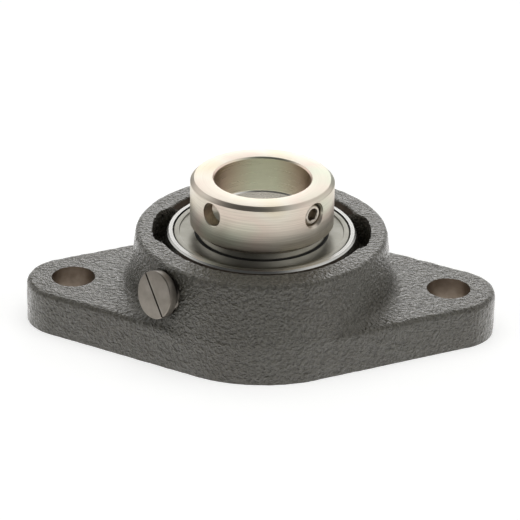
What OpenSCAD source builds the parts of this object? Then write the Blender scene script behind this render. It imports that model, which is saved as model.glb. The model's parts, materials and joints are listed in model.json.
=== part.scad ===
// Two-bolt flange bearing unit: a cast iron flange housing with a spherical seat, a sealed ball
// bearing insert that can swivel in that seat, and an eccentric locking collar that grips the shaft.
// The mounting face lies on z = 0 and the shaft axis is the Z axis. Millimetres.

/* [Shaft and insert bearing] */
// Diameter of the shaft bore
shaft_d = 25; // [24:0.5:28]
// Inner ring wall between the bore and the bottom of its raceway
inner_race_wall = 3.05; // [2.6:0.05:4]
// Diameter of the balls
ball_d = 7.94; // [7.2:0.02:8.6]
// Number of balls
ball_count = 9; // [7:1:10]
// Outer ring wall between its raceway and the spherical outside
outer_race_wall = 2.51; // [2.2:0.01:3.4]
// Depth of both raceways, from the shoulder
race_depth = 1.4; // [1.1:0.1:1.7]
// Radius of a raceway groove as a share of the ball diameter
race_conformity = 0.52; // [0.515:0.005:0.54]
// Radial running clearance of a ball in each raceway
race_fit = 0.02; // [0.01:0.01:0.05]
// Chamfer on the edges of the rings
ring_chamfer = 0.3; // [0.2:0.1:0.5]
// Radial width of the outer ring's bright end face
face_land = 1; // [0.8:0.1:1.6]

/* [Cage and seals] */
// Clearance of a ball in its cage pocket
cage_fit = 0.1; // [0.05:0.01:0.2]
// Thickness of the cage's closed side, under the pockets
cage_base = 1.3; // [0.9:0.1:1.8]
// Height of the cage fingers above the ball centres
cage_finger = 1.9; // [1.4:0.1:2.2]
// Radial gap between the cage and the shoulders of the rings
cage_gap = 0.7; // [0.5:0.1:0.9]
// Gap between the cage and the rear seal
cage_end_gap = 0.53; // [0.35:0.01:0.8]
// Depth of a whole seal, from the ring's end face
seal_depth = 2.6; // [2.3:0.1:3.2]
// Sheet thickness of the steel washers in a seal
seal_sheet = 0.5; // [0.4:0.05:0.6]
// Width of the raised rim of the outer seal washer
seal_rim = 1.45; // [1.3:0.05:1.9]
// Step from the raised rim down to the flat of the washer
seal_step = 0.4; // [0.3:0.05:0.5]
// Open groove between the washer's rim and the outer ring
seal_gap = 0.35; // [0.2:0.05:0.4]
// Clearance of the rubber lip on the inner ring
lip_fit = 0.05; // [0.02:0.01:0.1]

/* [Locking collar] */
// Eccentricity of the cam on the inner ring and of the collar's recess
cam_e = 0.8; // [0.6:0.1:1]
// Radial clearance between cam and recess, which sets how far the collar turns
cam_fit = 0.25; // [0.22:0.01:0.3]
// Step from the inner ring's shoulder in to the high side of the cam
cam_step = 0.35; // [0.2:0.05:0.5]
// Length of the cam inside the collar
cam_len = 3.4; // [2.6:0.1:5]
// Thinnest wall of the collar around its recess
collar_wall = 1.9; // [1.5:0.1:3]
// Gap between the outer ring's face and the collar
collar_gap = 2.3; // [1.8:0.1:4]
// Radial clearance of the collar on the shaft
collar_fit = 0.05; // [0.02:0.01:0.1]
// Chamfer on the collar's outer top edge
collar_chamfer = 1; // [0.5:0.1:1.4]
// Diameter of the set screw
screw_d = 6; // [5:0.5:7]
// Width across flats of the set screw's socket
screw_socket = 3; // [2.5:0.5:3.5]
// Depth of the set screw's outer end below the collar's surface
screw_sink = 0.8; // [0.5:0.1:1.2]
// Radial clearance of the set screw in its hole
screw_fit = 0.04; // [0.02:0.01:0.06]
// Collar material left between the recess and the screw hole
screw_land = 1.6; // [1.2:0.1:2.4]
// Collar material left above the screw hole
top_land = 1.6; // [1.5:0.1:3]
// Diameter of the drift hole for turning the collar
drift_d = 6; // [5:0.5:6.5]
// Depth of the straight part of the drift hole
drift_depth = 3.4; // [2.5:0.1:3.6]

/* [Housing] */
// Height of the bearing's centre above the mounting face
seat_h = 18.6; // [17.6:0.1:24]
// Radial clearance of the spherical seat
seat_fit = 0.05; // [0.03:0.01:0.08]
// Distance from the outer ring's face in to the edge of the machined seat
seat_inset = 2.5; // [2:0.1:3]
// Height of the housing rim above the outer ring's face
rim_proud = 0.4; // [0.2:0.1:3]
// Radial width of the rim around the mouth
rim_w = 6.3; // [5.5:0.1:9]
// Radius of the rim's outer edge
rim_round = 1.4; // [1:0.1:3]
// How much wider the mouth is than the seat
mouth_clear = 0.9; // [0.3:0.1:1.2]
// How much wider the rear cavity is than the seat
rear_clear = 2.5; // [1:0.1:3.5]
// How far the loading notches reach past the seat
notch_clear = 2.3; // [1.5:0.1:3]
// How much wider a loading notch is than the outer ring, where it crosses the seat
notch_side = 1.4; // [1.2:0.1:4]
// How much the boss widens from the rim to the flange
boss_flare = 1.8; // [1:0.1:4]

/* [Flange] */
// Distance between the two bolt holes
bolt_span = 99; // [96:0.5:112]
// Diameter of a bolt hole
bolt_d = 11.5; // [9:0.5:13]
// Flange material around a bolt hole
bolt_land = 6.75; // [6:0.25:8]
// Thickness of the flange arms
flange_t = 11.7; // [10:0.1:13]
// Radius of the arms' upper edge
edge_round = 1.7; // [1.2:0.1:4]
// Radius of the fillet between an arm and the boss
root_fillet = 3.5; // [2:0.1:5]

/* [Lubrication port] */
// Direction of the port around the shaft axis, in degrees from +X
lube_azimuth = 225; // [215:1:235]
// Upward tilt of the port, in degrees
lube_tilt = 11; // [5:1:15]
// Distance that the port's axis meets the seat below its centre
lube_drop = 0.3; // [0:0.1:1]
// Diameter of the grease passage
lube_d = 3; // [2:0.5:3.5]
// Depth of the grease groove in the outer ring
lube_groove = 0.7; // [0.5:0.1:0.9]
// Diameter of the plug's taper shank where it enters the boss
plug_shank_d = 9.7; // [8:0.1:10.2]
// Length of the plug's shank
plug_shank_len = 5.8; // [4.5:0.1:6.4]
// Clearance of the shank in its hole
plug_fit = 0.05; // [0.03:0.01:0.1]
// Gap that the tightened plug leaves between its head and the boss
plug_proud = 1.05; // [0.6:0.05:1.6]
// Diameter of the plug's head
plug_head_d = 12.4; // [11.5:0.1:13.5]
// Thickness of the plug's head
plug_head_t = 2.3; // [2:0.1:4]
// Width of the plug's driver slot
plug_slot = 0.5; // [0.4:0.1:1.4]
// Turn of the driver slot around the plug's axis, in degrees
plug_turn = 43; // [0:1:179]

/* [Hidden] */
$fn = 96;
eps = 0.01;
// A cut runs this far past the surface that it opens
over = 1;

shaft_r = shaft_d / 2;
ball_r = ball_d / 2;
groove_r = ball_d * race_conformity;
pitch_r = shaft_r + inner_race_wall + ball_r;
inner_race_r = pitch_r - ball_r - race_fit;
outer_race_r = pitch_r + ball_r + race_fit;
inner_shoulder_r = inner_race_r + race_depth;
outer_shoulder_r = outer_race_r - race_depth;
seat_r = pitch_r + ball_r + outer_race_wall;

// Half the outer ring's width: half a ball, the cage's closed side and one seal
cage_reach = ball_r + cage_fit + cage_base;
ring_half = cage_reach + cage_end_gap + seal_depth;
face_r = sqrt(seat_r * seat_r - ring_half * ring_half) - ring_chamfer;
seal_r = face_r - face_land;
seal_foot_groove = 0.2;
bore_chamfer = 0.8;

// Heights inside a seal, down from the ring's end face
seal_top = 0.15;
plate_top = seal_top + seal_step;
lip_top = plate_top + seal_sheet;
foot_top = seal_depth - seal_sheet;
backing_top = seal_depth - 0.45;
rim_out_r = seal_r - seal_gap;
rim_in_r = rim_out_r - seal_rim;
washer_in_r = inner_shoulder_r + 0.6;
skirt_r = rim_out_r - seal_sheet;

// Heights over the bearing's centre
collar_z0 = ring_half + collar_gap;
cam_z0 = ring_half + collar_gap / 2;
inner_top = collar_z0 + cam_len;
collar_rest = 0.1;
recess_top = inner_top + collar_rest;
screw_r = screw_d / 2;
screw_z = recess_top + screw_land + screw_r;
collar_top = screw_z + screw_r + top_land;

cam_r = inner_shoulder_r - cam_step - cam_e;
recess_r = cam_r + cam_fit;
collar_r = recess_r + cam_e + collar_wall;
collar_bore_r = shaft_r + collar_fit;
cam_azimuth = 48;
screw_azimuth = 318;
drift_azimuth = 228;
screw_tip_gap = 0.2;
screw_mouth = 0.5;
drill_point = 118;

// Housing outline
mouth_r = seat_r + mouth_clear;
rim_r = mouth_r + rim_w;
rim_top = seat_h + ring_half + rim_proud;
flange_r = rim_r + boss_flare;
end_r = bolt_d / 2 + bolt_land;
end_x = bolt_span / 2;
// The arms' straight sides lie this far inside the rounds that they join, so the two meet at a clear edge
bar_in = 0.025;
tangent_a = acos((flange_r - end_r) / end_x);
tangent_len = end_x * sin(tangent_a);
seat_band = ring_half - seat_inset;
neck_r = sqrt(pow(seat_r + seat_fit, 2) - seat_band * seat_band);
rear_r = seat_r + rear_clear;
rear_z = seat_h - ring_half - seat_inset;
notch_r = seat_r + notch_clear;
// The notches' corners are cut off at 45 degrees, along lines that meet this far out on the X axis
notch_tip = seat_r + ring_half + notch_side / 2;

// The boss flank is a straight draft from the flange's side up to the rounded rim, which it meets smoothly
flank_foot = [flange_r, flange_t - edge_round + 0.3];
rim_centre = [rim_r - rim_round, rim_top - rim_round];
flank_v = flank_foot - rim_centre;
// The flank runs just inside the rim's round, so the two cross at a clear edge
flank_in = 0.995 * rim_round;
boss_draft = atan2(flank_v[1], flank_v[0]) + acos(flank_in / norm(flank_v));
flank_head = rim_centre + flank_in * [cos(boss_draft), sin(boss_draft)];
function flank_r(z) = flank_foot[0] - (z - flank_foot[1]) * tan(boss_draft);

// Lubrication port, measured out along its axis from the seat
port_z = seat_h - lube_drop;
port_s = (flank_r(port_z) - seat_r) / (cos(lube_tilt) + sin(lube_tilt) * tan(boss_draft));
head_s = port_s + plug_proud;
thread_s = head_s - plug_shank_len - 0.6;
port_chamfer = 0.8;
// Taper thread: the radius falls by this share of the way in
taper = 1 / 32;
function shank_r(s) = plug_shank_d / 2 + taper * (s - port_s);

// Grease groove in the outer ring, from its radial holes up to the housing's passage
race_centre = outer_race_r - groove_r;
race_half = sqrt(groove_r * groove_r - pow(outer_shoulder_r - race_centre, 2));
ring_hole_r = 0.7;
ring_hole_z = -(race_half + ring_half - seal_depth) / 2;
groove_z0 = ring_hole_z - 1.5 * ring_hole_r;
groove_z1 = -lube_drop - lube_d / 4;

balls = [for (i = [1:ball_count]) str("ball_", i)];

// What a round takes off the upper edge of a wall whose face is at r and whose top is at h.
// The round's circle is a little larger than the corner, so it crosses both faces at a clear edge.
module edge_cut(r, h, round) {
    difference() {
        translate([r - round, h - round]) square(round + over);
        translate([r - round, h - round]) circle(1.01 * round);
    }
}

// A rectangle in a half profile, given by its radii and heights
module band(r0, r1, z0, z1) {
    translate([r0, z0]) square([r1 - r0, z1 - z0]);
}

// Puts its children at the bearing's centre
module at_centre() {
    translate([0, 0, seat_h]) children();
}

// Points +Z of its children outwards, square to the shaft axis
module radial(azimuth, z) {
    rotate([0, 0, azimuth]) translate([0, 0, z]) rotate([0, 90, 0]) children();
}

// Frame of the lubrication port: origin on the seat, +Z outwards along the port
module lube_frame() {
    rotate([0, 0, lube_azimuth])
        translate([seat_r, 0, seat_h - lube_drop])
        rotate([0, 90 - lube_tilt, 0]) children();
}

// Plan of the flange: two round ends and the straight sides that lead from them to the boss
module flange_plan() {
    for (x = [-1, 1]) translate([x * end_x, 0]) circle(end_r);
    a = tangent_a;
    end_p = [end_x + (end_r - bar_in) * cos(a), (end_r - bar_in) * sin(a)];
    mid_p = (flange_r - bar_in) * [cos(a), sin(a)];
    polygon([end_p, mid_p, [-mid_p[0], mid_p[1]], [-end_p[0], end_p[1]],
             [-end_p[0], -end_p[1]], [-mid_p[0], -mid_p[1]], [mid_p[0], -mid_p[1]], [end_p[0], -end_p[1]]]);
}

// Flat flange with all its upper edges rounded
module flange() {
    difference() {
        linear_extrude(flange_t) flange_plan();
        for (x = [0, 1]) mirror([x, 0, 0]) {
            for (y = [0, 1]) mirror([0, y, 0]) rotate([0, 0, tangent_a]) rotate([90, 0, 0])
                translate([0, 0, -over]) linear_extrude(tangent_len + edge_round + over)
                edge_cut(flange_r - bar_in, flange_t, edge_round);
            translate([end_x, 0, 0]) rotate([0, 0, -tangent_a])
                rotate_extrude(angle = 2 * tangent_a) edge_cut(end_r, flange_t, edge_round);
        }
    }
}

// Boss with a drafted flank and a rounded rim
module boss() {
    rotate_extrude() {
        polygon([[0, 0], [flank_foot[0], 0], flank_foot, flank_head, rim_centre,
                 [rim_centre[0], rim_top], [0, rim_top]]);
        translate(rim_centre) circle(rim_round);
    }
}

// Hollow fillet where the arms run into the boss, sloped off before it reaches the arms' rounded edges
module arm_fillet() {
    fillet_r = flank_r(flange_t + root_fillet) + root_fillet - 0.1;
    difference() {
        rotate_extrude() difference() {
            band(rim_r - over, fillet_r, flange_t - over, flange_t + root_fillet);
            translate([fillet_r, flange_t + 0.98 * root_fillet]) circle(root_fillet);
        }
        for (x = [0, 1], y = [0, 1]) mirror([x, 0, 0]) mirror([0, y, 0]) rotate([0, 0, tangent_a])
            translate([flange_r - edge_round - over / 2, 0, flange_t]) rotate([0, -45, 0])
            translate([0, -flange_r, -flange_r]) cube(2 * flange_r);
        translate([0, 0, flange_t]) cube([2 * rim_r * cos(tangent_a), 4 * rim_r, 4 * rim_r], center = true);
    }
}

// Seat for the insert, open to a wider mouth above and a wider cavity below
module seat_cut() {
    at_centre() sphere(seat_r + seat_fit);
    mouth_h = rim_top - seat_h - seat_band;
    mouth_slope = (mouth_r - neck_r) / mouth_h;
    translate([0, 0, seat_h + seat_band])
        cylinder(r1 = neck_r, r2 = mouth_r + mouth_slope * over, h = mouth_h + over);
    translate([0, 0, rear_z]) cylinder(r1 = rear_r, r2 = neck_r, h = seat_h - seat_band - rear_z);
    translate([0, 0, -over]) cylinder(r = rear_r, h = rear_z + over);
}

// Two notches through which the insert is loaded edge on
module notch_cut() {
    translate([0, 0, seat_h]) linear_extrude(rim_top) intersection() {
        circle(notch_r);
        rotate(45) square(sqrt(2) * notch_tip, center = true);
        square([2 * notch_tip, notch_tip], center = true);
    }
}

module bolt_holes() {
    for (x = [-1, 1]) translate([x * end_x, 0, -over])
        cylinder(d = bolt_d, h = flange_t + 2 * over);
}

// Tapped taper hole for the plug, with a chamfered mouth and a narrow passage on to the seat
module lube_cut() {
    lube_frame() {
        translate([0, 0, -over]) cylinder(d = lube_d, h = port_s);
        translate([0, 0, thread_s]) cylinder(
            r1 = shank_r(thread_s) + plug_fit, r2 = shank_r(head_s) + plug_fit, h = head_s - thread_s);
        translate([0, 0, port_s - port_chamfer]) cylinder(
            r1 = shank_r(port_s), r2 = shank_r(port_s) + 2 * port_chamfer, h = 2 * port_chamfer);
    }
}

module housing() {
    color("dimgray") difference() {
        union() {
            boss();
            flange();
            arm_fillet();
        }
        seat_cut();
        notch_cut();
        bolt_holes();
        lube_cut();
    }
}

// Slotted taper plug that closes the lubrication port, its head standing just clear of the boss
module lubrication_plug() {
    edge = 0.3;
    head_r = plug_head_d / 2;
    tip_s = head_s - plug_shank_len;
    color("lightslategray") lube_frame() difference() {
        rotate_extrude() polygon([
            [0, tip_s], [shank_r(tip_s) - 2 * edge, tip_s], [shank_r(tip_s + 2 * edge), tip_s + 2 * edge],
            [shank_r(head_s), head_s], [head_r, head_s], [head_r, head_s + plug_head_t - edge],
            [head_r - edge, head_s + plug_head_t], [0, head_s + plug_head_t]]);
        rotate([0, 0, plug_turn])
            translate([-plug_head_d, -plug_slot / 2, head_s + plug_head_t / 2])
            cube([2 * plug_head_d, plug_slot, plug_head_t]);
    }
}

// Outer ring: spherical outside, raceway, a stepped seat for each seal and a grease groove with holes
module outer_ring() {
    color("gainsboro") at_centre() difference() {
        rotate_extrude() difference() {
            intersection() {
                circle(seat_r);
                polygon([[0, -ring_half], [face_r, -ring_half], [face_r + ring_half, 0],
                         [face_r, ring_half], [0, ring_half]]);
            }
            band(0, outer_shoulder_r, -ring_half - over, ring_half + over);
            translate([race_centre, 0]) circle(groove_r);
            for (side = [-1, 1]) scale([1, side]) {
                band(0, seal_r, ring_half - seal_depth, ring_half + over);
                band(0, seal_r + seal_foot_groove, ring_half - seal_depth,
                     ring_half - seal_depth + 2 * seal_sheet);
            }
            band(sqrt(seat_r * seat_r - groove_z0 * groove_z0) - lube_groove, seat_r + over,
                 groove_z0, groove_z1);
        }
        for (turn = [0, 180]) radial(lube_azimuth + turn, ring_hole_z)
            cylinder(r = ring_hole_r, h = seat_r + over);
    }
}

// Inner ring: raceway, and beyond the front seal the eccentric cam that the collar locks on
module inner_ring() {
    color("silver") at_centre() difference() {
        union() {
            rotate_extrude() difference() {
                polygon([[0, -ring_half], [inner_shoulder_r - ring_chamfer, -ring_half],
                         [inner_shoulder_r, -ring_half + ring_chamfer],
                         [inner_shoulder_r, cam_z0], [0, cam_z0]]);
                translate([inner_race_r + groove_r, 0]) circle(groove_r);
            }
            rotate([0, 0, cam_azimuth]) translate([cam_e, 0, 0]) rotate_extrude()
                polygon([[0, cam_z0 - over], [cam_r, cam_z0 - over], [cam_r, inner_top - ring_chamfer],
                         [cam_r - ring_chamfer, inner_top], [0, inner_top]]);
        }
        translate([0, 0, -ring_half - over])
            cylinder(r = shaft_r, h = ring_half + inner_top + 2 * over);
        translate([0, 0, -ring_half - eps])
            cylinder(r1 = shaft_r + bore_chamfer, r2 = shaft_r, h = bore_chamfer);
        translate([0, 0, inner_top - bore_chamfer + eps])
            cylinder(r1 = shaft_r, r2 = shaft_r + bore_chamfer, h = bore_chamfer);
    }
}

function ball_turn(i) = 360 * (i - 1) / ball_count;
function ball_place(i) = pitch_r * [cos(ball_turn(i)), sin(ball_turn(i)), 0];

module ball(i) {
    color("whitesmoke") at_centre() translate(ball_place(i)) sphere(ball_r);
}

// Moulded crown cage: a closed ring on the rear side with a snap pocket for each ball
module ball_cage() {
    color("darkolivegreen") at_centre() difference() {
        rotate_extrude()
            band(inner_shoulder_r + cage_gap, outer_shoulder_r - cage_gap, -cage_reach, cage_finger);
        for (i = [1:ball_count]) translate(ball_place(i)) sphere(ball_r + cage_fit);
    }
}

// Puts a seal piece on the front face, or mirrors it to the rear face
module on_face(front) {
    at_centre() mirror([0, 0, front ? 0 : 1]) translate([0, 0, ring_half]) children();
}

// Outer washer: flat plate, raised rim and a skirt whose foot sits in the outer ring's groove
module seal_washer(front) {
    color("lightsteelblue") on_face(front) rotate_extrude() {
        band(washer_in_r, rim_in_r + seal_sheet, -lip_top, -plate_top);
        band(rim_in_r, rim_in_r + seal_sheet, -lip_top, -seal_top);
        band(rim_in_r, rim_out_r, -seal_top - seal_sheet, -seal_top);
        band(skirt_r, rim_out_r, -seal_depth, -seal_top);
        band(skirt_r, seal_r + seal_foot_groove - seal_gap / 4, -seal_depth, -foot_top);
    }
}

// Rubber disc under the washer, with a lip that runs on the inner ring
module seal_lip(front) {
    color("darkslategray") on_face(front) rotate_extrude() polygon([
        [inner_shoulder_r + lip_fit, -plate_top - seal_sheet / 2], [washer_in_r - lip_fit, -plate_top],
        [washer_in_r - lip_fit, -lip_top - lip_fit], [skirt_r - lip_fit, -lip_top - lip_fit],
        [skirt_r - lip_fit, -backing_top + lip_fit],
        [inner_shoulder_r + 2 * lip_fit, -backing_top + lip_fit]]);
}

// Inner washer that backs the rubber
module seal_backing(front) {
    color("slategray") on_face(front) rotate_extrude()
        band(washer_in_r, skirt_r - lip_fit, -seal_depth, -backing_top);
}

// Collar: shaft bore, eccentric recess over the cam, a set screw hole and a blind drift hole
module locking_collar() {
    drift_r = drift_d / 2;
    edge = 0.4;
    color("wheat") at_centre() difference() {
        rotate_extrude() polygon([
            [0, collar_z0], [collar_r - edge, collar_z0], [collar_r, collar_z0 + edge],
            [collar_r, collar_top - collar_chamfer], [collar_r - collar_chamfer, collar_top],
            [0, collar_top]]);
        translate([0, 0, collar_z0 - over])
            cylinder(r = collar_bore_r, h = collar_top - collar_z0 + 2 * over);
        translate([0, 0, collar_top - edge + eps])
            cylinder(r1 = collar_bore_r, r2 = collar_bore_r + edge, h = edge);
        rotate([0, 0, cam_azimuth]) translate([cam_e, 0, collar_z0 - over])
            cylinder(r = recess_r, h = recess_top - collar_z0 + over);
        radial(screw_azimuth, screw_z) {
            cylinder(r = screw_r + screw_fit, h = collar_r + over);
            translate([0, 0, collar_r - screw_sink]) cylinder(
                r1 = screw_r + screw_fit, r2 = screw_r + screw_fit + 2 * screw_mouth, h = 2 * screw_sink);
        }
        radial(drift_azimuth, screw_z) translate([0, 0, collar_r - drift_depth]) {
            cylinder(r = drift_r, h = drift_depth + over);
            tip = drift_r / tan(drill_point / 2);
            translate([0, 0, -tip]) cylinder(r1 = 0, r2 = drift_r, h = tip);
        }
    }
}

// Socket set screw with a cup point, just clear of the shaft
module collar_set_screw() {
    edge = 0.5;
    tip = shaft_r + screw_tip_gap;
    end = collar_r - screw_sink;
    color("dimgray") at_centre() radial(screw_azimuth, screw_z) difference() {
        rotate_extrude() polygon([
            [0, tip + edge], [screw_r / 3, tip], [screw_r - 2 * edge, tip], [screw_r, tip + 2 * edge],
            [screw_r, end - edge], [screw_r - edge, end], [0, end]]);
        translate([0, 0, end - screw_r]) cylinder(d = screw_socket / cos(30), h = screw_r + over, $fn = 6);
    }
}

housing();
lubrication_plug();
outer_ring();
inner_ring();
ball_cage();
for (i = [1:ball_count]) ball(i);
seal_washer(true);  // front_seal_washer
seal_lip(true);  // front_seal_lip
seal_backing(true);  // front_seal_backing
seal_washer(false);  // rear_seal_washer
seal_lip(false);  // rear_seal_lip
seal_backing(false);  // rear_seal_backing
locking_collar();
collar_set_screw();
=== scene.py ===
"""Looks of a two-bolt flange bearing unit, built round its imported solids.

The fields of each class are millimetres and degrees in the part's own frame: the shaft
axis is Z, the mounting face lies at z = 0 and both bolt holes stand on the X axis.
"""

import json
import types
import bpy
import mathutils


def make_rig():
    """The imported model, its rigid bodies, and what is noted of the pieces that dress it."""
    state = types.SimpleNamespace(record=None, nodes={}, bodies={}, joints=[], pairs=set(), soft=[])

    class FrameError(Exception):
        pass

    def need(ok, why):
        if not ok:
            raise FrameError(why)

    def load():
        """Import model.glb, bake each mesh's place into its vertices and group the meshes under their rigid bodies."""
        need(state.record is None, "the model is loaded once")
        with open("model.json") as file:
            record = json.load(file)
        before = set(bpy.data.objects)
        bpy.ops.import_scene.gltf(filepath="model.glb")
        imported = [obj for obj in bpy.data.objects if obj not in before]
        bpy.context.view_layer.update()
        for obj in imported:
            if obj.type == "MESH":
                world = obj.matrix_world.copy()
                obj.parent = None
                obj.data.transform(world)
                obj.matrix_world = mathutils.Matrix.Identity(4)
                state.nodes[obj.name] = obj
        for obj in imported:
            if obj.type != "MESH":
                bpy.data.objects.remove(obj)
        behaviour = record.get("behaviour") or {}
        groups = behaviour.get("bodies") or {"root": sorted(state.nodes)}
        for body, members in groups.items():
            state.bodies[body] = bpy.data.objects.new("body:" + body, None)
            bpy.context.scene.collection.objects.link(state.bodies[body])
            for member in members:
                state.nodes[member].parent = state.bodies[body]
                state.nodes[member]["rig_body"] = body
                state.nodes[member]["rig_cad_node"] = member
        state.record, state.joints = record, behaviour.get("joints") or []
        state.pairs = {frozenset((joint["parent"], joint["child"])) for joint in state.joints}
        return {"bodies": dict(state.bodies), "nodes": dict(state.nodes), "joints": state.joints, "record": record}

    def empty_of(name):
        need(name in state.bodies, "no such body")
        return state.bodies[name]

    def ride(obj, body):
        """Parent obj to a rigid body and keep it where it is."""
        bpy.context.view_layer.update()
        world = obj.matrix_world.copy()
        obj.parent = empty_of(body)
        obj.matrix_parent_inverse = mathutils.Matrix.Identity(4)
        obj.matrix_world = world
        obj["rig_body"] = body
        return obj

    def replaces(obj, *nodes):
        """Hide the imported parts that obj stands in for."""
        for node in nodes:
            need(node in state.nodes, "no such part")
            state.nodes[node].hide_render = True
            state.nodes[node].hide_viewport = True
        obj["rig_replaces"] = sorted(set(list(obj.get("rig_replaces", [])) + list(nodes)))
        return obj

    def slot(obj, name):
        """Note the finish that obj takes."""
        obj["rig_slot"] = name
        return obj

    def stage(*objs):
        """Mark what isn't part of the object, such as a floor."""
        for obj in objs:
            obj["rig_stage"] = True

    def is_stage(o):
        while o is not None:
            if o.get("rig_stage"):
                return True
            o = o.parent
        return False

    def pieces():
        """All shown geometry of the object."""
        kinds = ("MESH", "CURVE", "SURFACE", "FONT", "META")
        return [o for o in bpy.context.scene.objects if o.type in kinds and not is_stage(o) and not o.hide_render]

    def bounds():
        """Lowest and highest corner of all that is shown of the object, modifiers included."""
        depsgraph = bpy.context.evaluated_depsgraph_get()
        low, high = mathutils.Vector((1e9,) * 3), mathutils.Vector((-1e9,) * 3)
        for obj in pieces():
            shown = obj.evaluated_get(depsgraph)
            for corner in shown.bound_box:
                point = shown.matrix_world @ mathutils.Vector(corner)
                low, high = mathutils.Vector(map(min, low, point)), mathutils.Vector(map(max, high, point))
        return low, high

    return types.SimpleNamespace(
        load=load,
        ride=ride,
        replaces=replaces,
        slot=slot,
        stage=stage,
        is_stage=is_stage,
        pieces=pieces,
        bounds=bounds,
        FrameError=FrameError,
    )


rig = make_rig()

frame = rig.load()
cad_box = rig.bounds()

import json
import logging
import math
from dataclasses import dataclass
from enum import Enum
from typing import Any, ClassVar, Mapping, Sequence

import bpy
from mathutils import Matrix, Vector

MM = 0.001
BEARING_CENTRE = 18.6

# The grease port along its own axis, and the pitches of both threads
PORT_MOUTH = 8.06
PORT_NARROWING = 32
PORT_PITCH = 0.91
SCREW_PITCH = 1.0

# A drill's point, and how far a tool runs past the face that it leaves by
DRILL_POINT = 118.0
OVERRUN = 1.0

# Distance of the rings that outer and tapped threads are run on
SCREW_RING = 0.1
TAP_RING = 0.12

SIZE_FILE = "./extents.json"

Shape = bpy.types.Object
Tree = bpy.types.NodeTree
Node = bpy.types.Node
Socket = bpy.types.NodeSocket

log = logging.getLogger("flange_bearing")


# Places


@dataclass(frozen=True)
class Axis:
    """A line that a turned piece is centred on, with +Z pointing out along it.

    Attributes:
        azimuth: turn about the shaft axis.
        reach: distance of the origin from the shaft axis.
        height: height of the origin over the mounting face.
        lean: angle from upright towards the outside.
    """

    azimuth: float = 0.0
    reach: float = 0.0
    height: float = 0.0
    lean: float = 0.0

    @property
    def matrix(self) -> Matrix:
        """The place and turn of this line, in metres."""
        turn = Matrix.Rotation(math.radians(self.azimuth), 4, "Z")
        move = Matrix.Translation((self.reach * MM, 0.0, self.height * MM))
        return turn @ move @ Matrix.Rotation(math.radians(self.lean), 4, "Y")


SHAFT = Axis()
GREASE_PORT = Axis(azimuth=225.0, reach=26.0, height=18.3, lean=79.0)
SCREW_HOLE = Axis(azimuth=318.0, height=37.5, lean=90.0)
DRIFT_HOLE = Axis(azimuth=228.0, height=37.5, lean=90.0)


@dataclass(frozen=True)
class Corner:
    """A corner of a turned outline: its radius, its height and how far it is rounded."""

    r: float
    z: float
    soft: float = 0.0


def arc(r: float, z: float, radius: float, start: float, end: float, steps: int) -> list[Corner]:
    """Corners along part of a circle in an outline.

    Args:
        r: radius at which the circle's centre lies.
        z: height of the circle's centre.
        radius: the circle's own radius.
        start: angle of the first corner, from the outward direction.
        end: angle of the last corner.
        steps: number of chords.

    Returns:
        The corners from start to end.
    """
    turns = [math.radians(start + (end - start) * i / steps) for i in range(steps + 1)]
    return [Corner(r + radius * math.cos(t), z + radius * math.sin(t)) for t in turns]


def soften(outline: Sequence[Corner], steps: int = 5) -> list[Vector]:
    """Round the corners of an outline that ask for it.

    Args:
        outline: the corners in order.
        steps: chords in each rounded corner.

    Returns:
        The points of the rounded outline as (radius, height).
    """
    points: list[Vector] = []
    for i, corner in enumerate(outline):
        here = Vector((corner.r, corner.z))
        if not corner.soft:
            points.append(here)
            continue
        before = outline[i - 1]
        after = outline[(i + 1) % len(outline)]
        back = (Vector((before.r, before.z)) - here).normalized()
        on = (Vector((after.r, after.z)) - here).normalized()
        reach = corner.soft / math.tan(back.angle(on) / 2)
        for step in range(steps + 1):
            t = step / steps
            points.append(here + back * reach * (1 - t) ** 2 + on * reach * t**2)
    return points


# Bench work


def choose(*shapes: Shape) -> None:
    """Select some shapes and nothing else.

    Args:
        shapes: what to select, the last one active.
    """
    bpy.ops.object.select_all(action="DESELECT")
    for shape in shapes:
        shape.select_set(True)
        bpy.context.view_layer.objects.active = shape


def place(shape: Shape, matrix: Matrix) -> Shape:
    """Move a shape and put its place into its mesh.

    Args:
        shape: a shape at the origin.
        matrix: where it goes.

    Returns:
        The same shape.
    """
    shape.matrix_world = matrix
    choose(shape)
    bpy.ops.object.transform_apply(location=True, rotation=True, scale=True)
    return shape


def modify(shape: Shape, kind: str, **settings: Any) -> None:
    """Add a modifier to a shape and apply it.

    Args:
        shape: the shape to change.
        kind: Blender's name for the modifier.
        settings: the modifier's settings.
    """
    choose(shape)
    modifier = shape.modifiers.new(kind.title(), kind)
    for name, value in settings.items():
        setattr(modifier, name, value)
    bpy.ops.object.modifier_apply(modifier=modifier.name)


def turn(name: str, outline: Sequence[Corner], steps: int = 192) -> Shape:
    """Turn an outline round the Z axis, as on a lathe.

    Args:
        name: name of the new shape.
        outline: corners in order; one that starts on the axis also ends there, and any
            other is closed by an edge back to its first corner.
        steps: faces round the axis.

    Returns:
        The closed shape.
    """
    path = soften(outline)
    if outline[0].r:
        path.append(path[0])
    choose()
    bpy.ops.mesh.primitive_plane_add(size=MM)
    shape = bpy.context.object
    bpy.ops.object.mode_set(mode="EDIT")
    bpy.ops.mesh.select_all(action="SELECT")
    bpy.ops.mesh.merge(type="CENTER")
    bpy.ops.transform.translate(value=(path[0].x * MM, 0.0, path[0].y * MM))
    for here, there in zip(path, path[1:]):
        move = (there - here) * MM
        bpy.ops.mesh.extrude_region_move(TRANSFORM_OT_translate={"value": (move.x, 0.0, move.y)})
    bpy.ops.mesh.select_all(action="SELECT")
    bpy.ops.mesh.spin(steps=steps, angle=math.tau, center=(0.0, 0.0, 0.0), axis=(0.0, 0.0, 1.0))
    bpy.ops.object.mode_set(mode="OBJECT")
    close_seams(shape)
    shape.name = shape.data.name = name
    return shape


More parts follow.
